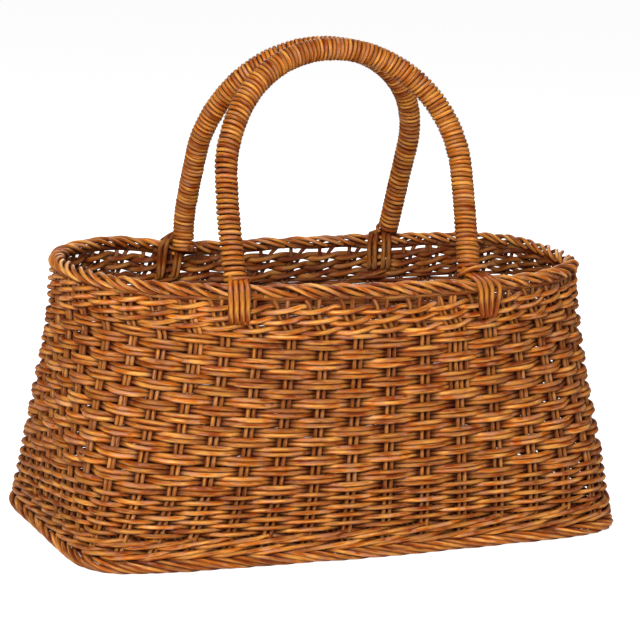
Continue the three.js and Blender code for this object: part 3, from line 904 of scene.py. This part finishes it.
def smooth_line(points, count):
    """A smooth curve through points, evenly spaced."""
    points = np.asarray(points, float)
    ends = [2 * points[0] - points[1], *points, 2 * points[-1] - points[-2]]
    part = np.linspace(0, 1, 24, endpoint=False)[:, None]
    curve = []
    for a, b, c, d in zip(ends, ends[1:], ends[2:], ends[3:]):
        bend = 2 * a - 5 * b + 4 * c - d
        curve.append(0.5 * (2 * b + (c - a) * part + bend * part**2 + (3 * b - a - 3 * c + d) * part**3))
    return evenly(np.concatenate(curve + [points[-1:]]), count)[0]


def pair_at(point):
    """The stake pair number of the wall's point nearest a place at the rim's middle height."""
    numbers = np.arange(0, STAKE_PAIRS, 0.005)
    points = on_wall(numbers, rim_middle, WALL_MIDDLE)[0]
    return numbers[np.argmin(np.linalg.norm(points - point, axis=1))]


def rim_spot(number, height, depth):
    """One point at a pair number and height, and a distance out from the middle of the wall."""
    return on_wall(np.array([number]), height, WALL_MIDDLE - depth)[0][0]


def lash_half(number, step, places, way, leg_end, leg, out, bottom):
    """The points of one side of a loop, from under the winding down to the wall. The way is 1 for
    the outside and -1 for the inside."""
    shoulder, side, low = [number + place * 0.001 / step for place in places]
    rope = TOP_BORDER_WIDTH / 2 + LASH_ROOM + LASH_RADIUS
    top = leg_end + leg * 0.0035 + out * way * 0.0040
    return [
        top + leg * 0.004,
        top,
        rim_spot(shoulder, rim_middle + rope * 0.68, way * rope * 0.73),
        rim_spot(side, rim_middle - 0.001, way * rope),
        rim_spot((side + low) / 2, bottom + 0.0085, way * (LASH_DEPTH + 0.0025)),
        rim_spot(low, bottom + 0.0015, way * LASH_DEPTH),
    ]


for side, foot, word in (("front", -1, "a"), ("front", 1, "b"), ("rear", -1, "a"), ("rear", 1, "b")):
    middle, line, leg, inward = handle_frame(side)
    hinge = middle + foot * HALF_SPAN * line
    leg_end = handle_ends[side][(foot + 1) // 2]
    number = pair_at(hinge)
    step = np.linalg.norm(rim_spot(number + 0.5, rim_middle, 0) - rim_spot(number - 0.5, rim_middle, 0))
    shown = 1 if side == "front" else -1
    bottom = LASH_BOTTOMS[f"{side}_{word}"]
    for loop in range(4):
        off = (loop - 1.5) * LASH_PITCH
        places = [level[loop] for level in LASH_PLACES[f"{side}_{word}"]]
        hidden = (off * 1000 * LASH_HIDDEN_GATHER, (off * 1000 + places[2]) / 2, places[2])
        start = leg_end + line * off * LASH_GATHER
        halves = {
            shown: lash_half(number, step, places, shown, start, leg, -inward, bottom),
            -shown: lash_half(number, step, hidden, -shown, start, leg, -inward, bottom),
        }
        arched = ARCHES.get(f"{side}_{word}", (None,) * 4)[loop]
        if arched:
            rise, depth = arched
            arch = rim_spot(number + places[0] * 0.001 / step, BODY_HEIGHT + rise, depth * shown)
            behind = hinge + leg * (LEG_STARTS["front"][0] + 0.002) + line * off * LASH_GATHER
            behind = behind + inward * shown * 0.005
            halves[shown][:2] = [behind, (behind + arch) / 2 + UPWARD * 0.0005, arch]
        inside, outside = halves[-1], halves[1]
        turn = rim_spot(number + places[2] * 0.001 / step, bottom, 0)
        curve = smooth_line(outside + [turn] + inside[::-1], 64)
        loops = [strand(curve, -inward, LASH_RADIUS, tint=chance.uniform(0.5, 1.0), facing=0.0)]
        lash_piece = strand_piece(f"{side}_lashing_{word}_{loop + 1}", loops, sides=10, edge=0.9)
        finish_piece(lash_piece, cane, "cane", None, f"{side}_lash_{word}_{loop + 1}")
        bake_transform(lash_piece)

# Studio: a plain white floor under soft lamps, and the photograph's camera, a little above the rim
# and to the left of the front.
FLOOR_COLOUR = (0.80, 0.80, 0.80, 1)
FLOOR_GLOW = 0.86
SKY_LIGHT = 0.14
LAMP_AIM = Vector((0, 0, 0.15))
floor_mesh = bpy.data.meshes.new("studio_floor")
floor_mesh.from_pydata([(-30, -30, 0), (30, -30, 0), (30, 30, 0), (-30, 30, 0)], [], [(0, 1, 2, 3)])
floor = bpy.data.objects.new("studio_floor", floor_mesh)
bpy.context.collection.objects.link(floor)
floor_paint = bpy.data.materials.new("studio_floor_paint")
floor_paint.use_nodes = True
floor_shader = floor_paint.node_tree.nodes["Principled BSDF"]
floor_shader.inputs["Base Color"].default_value = FLOOR_COLOUR
floor_shader.inputs["Roughness"].default_value = 1.0
floor_shader.inputs["Specular IOR Level"].default_value = 0.0
floor_shader.inputs["Emission Color"].default_value = (1, 1, 1, 1)
floor_seen = floor_paint.node_tree.nodes.new("ShaderNodeLightPath")
floor_glow = floor_paint.node_tree.nodes.new("ShaderNodeMath")
floor_glow.operation = "MULTIPLY"
floor_glow.inputs[1].default_value = FLOOR_GLOW
floor_paint.node_tree.links.new(floor_seen.outputs["Is Camera Ray"], floor_glow.inputs[0])
floor_paint.node_tree.links.new(floor_glow.outputs[0], floor_shader.inputs["Emission Strength"])
floor_mesh.materials.append(floor_paint)

world = bpy.data.worlds.new("studio_world")
bpy.context.scene.world = world
world.use_nodes = True
sky = world.node_tree.nodes["Background"]
sky.inputs["Color"].default_value = (1, 1, 1, 1)
sky_seen = world.node_tree.nodes.new("ShaderNodeLightPath")
sky_strength = world.node_tree.nodes.new("ShaderNodeMapRange")
sky_strength.inputs["To Min"].default_value = SKY_LIGHT
sky_strength.inputs["To Max"].default_value = 1.0
world.node_tree.links.new(sky_seen.outputs["Is Camera Ray"], sky_strength.inputs["Value"])
world.node_tree.links.new(sky_strength.outputs["Result"], sky.inputs["Strength"])
LAMPS = (
    ("key_lamp", (-1.2, -1.65, 1.3), 0.9, 50.0),
    ("fill_lamp", (1.5, -1.6, 0.9), 1.2, 7.5),
    ("top_lamp", (0.1, -0.2, 2.2), 1.2, 4.5),
    ("back_lamp", (0.9, 2.0, 1.1), 1.4, 16.0),
)
for name, place, size, power in LAMPS:
    lamp = bpy.data.lights.new(name, "AREA")
    lamp.size = size
    lamp.energy = power
    lamp_object = bpy.data.objects.new(name, lamp)
    lamp_object.location = place
    aim = LAMP_AIM - Vector(place)
    lamp_object.rotation_euler = aim.to_track_quat("-Z", "Y").to_euler()
    bpy.context.collection.objects.link(lamp_object)

VIEW_TARGET = Vector((0.00144, 0.0, 0.15573))
VIEW_DISTANCE = 1.742
VIEW_AZIMUTH, VIEW_ELEVATION, VIEW_ROLL = 0.41514, 0.18328, 0.03801
VIEW_LENS = 2231.96 / 640 * 36
away = Vector((
    -math.sin(VIEW_AZIMUTH) * math.cos(VIEW_ELEVATION),
    -math.cos(VIEW_AZIMUTH) * math.cos(VIEW_ELEVATION),
    math.sin(VIEW_ELEVATION),
))
right = (-away).cross(Vector((0, 0, 1))).normalized()
level_up = right.cross(-away)
camera_x = right * math.cos(VIEW_ROLL) + level_up * math.sin(VIEW_ROLL)
camera_y = level_up * math.cos(VIEW_ROLL) - right * math.sin(VIEW_ROLL)
lens = bpy.data.cameras.new("photo_camera")
lens.sensor_width = 36
lens.lens = VIEW_LENS
camera = bpy.data.objects.new("photo_camera", lens)
camera.matrix_world = Matrix.Translation(VIEW_TARGET + away * VIEW_DISTANCE) @ Matrix(
    (camera_x, camera_y, away)
).transposed().to_4x4()
bpy.context.collection.objects.link(camera)
bpy.context.scene.camera = camera
bpy.context.scene.view_settings.view_transform = "Standard"
